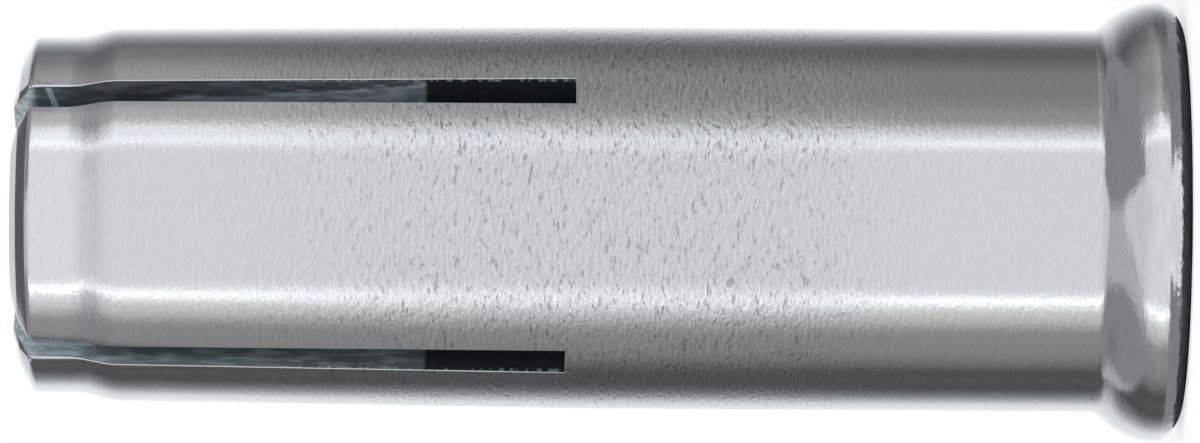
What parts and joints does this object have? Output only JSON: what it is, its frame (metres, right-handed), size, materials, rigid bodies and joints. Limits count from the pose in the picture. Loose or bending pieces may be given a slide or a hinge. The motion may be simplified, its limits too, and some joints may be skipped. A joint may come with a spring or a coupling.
{
  "type": "drop-in anchor",
  "caption": "Hammer-set drop-in anchor: a slotted steel sleeve with a flared rim and an inner thread, and a loose conical plug that spreads its legs.",
  "frame": {"origin": "centre of the mouth, at the rim's end face", "axes": "+Z along the axis, towards the slotted end; the saw cuts lie in the XZ and YZ planes"},
  "size_m": [0.0112, 0.0112, 0.03],
  "materials": {
    "sleeve_steel": "bright zinc plating over tumbled turned steel",
    "plug_steel": "bright zinc plating"
  },
  "bodies": {
    "sleeve": {"anchor_sleeve": "sleeve_steel"},
    "plug": {"expansion_plug": "plug_steel"}
  },
  "joints": [
    {"name": "plug_drive", "type": "slide", "parent": "sleeve", "child": "plug", "axis": [0, 0, 1], "range_m": [0, 0.002]}
  ]
}
